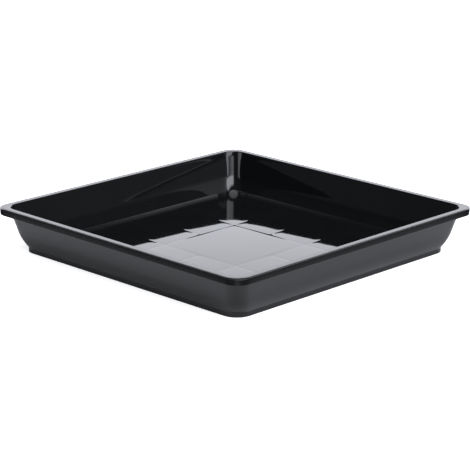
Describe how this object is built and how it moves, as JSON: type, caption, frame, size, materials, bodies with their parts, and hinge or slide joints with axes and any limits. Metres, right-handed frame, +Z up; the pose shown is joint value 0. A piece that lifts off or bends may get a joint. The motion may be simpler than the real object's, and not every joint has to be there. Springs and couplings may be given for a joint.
{
  "type": "square plant saucer",
  "caption": "Square one-piece moulded plant saucer with a flat lipped rim, leaning walls, rounded corners, a shallow grid-lined floor and a low foot ring.",
  "frame": {"origin": "middle of the foot ring's underside, on the surface that the saucer stands on", "axes": "+Z up, out of the saucer's mouth; +X and +Y square to two of its sides"},
  "size_m": [0.4, 0.4, 0.0536],
  "materials": {
    "tray_plastic": "black polypropylene, polished inside, satin on the outer walls and the rim's top"
  },
  "bodies": {
    "root": {"tray": "tray_plastic"}
  },
  "joints": []
}
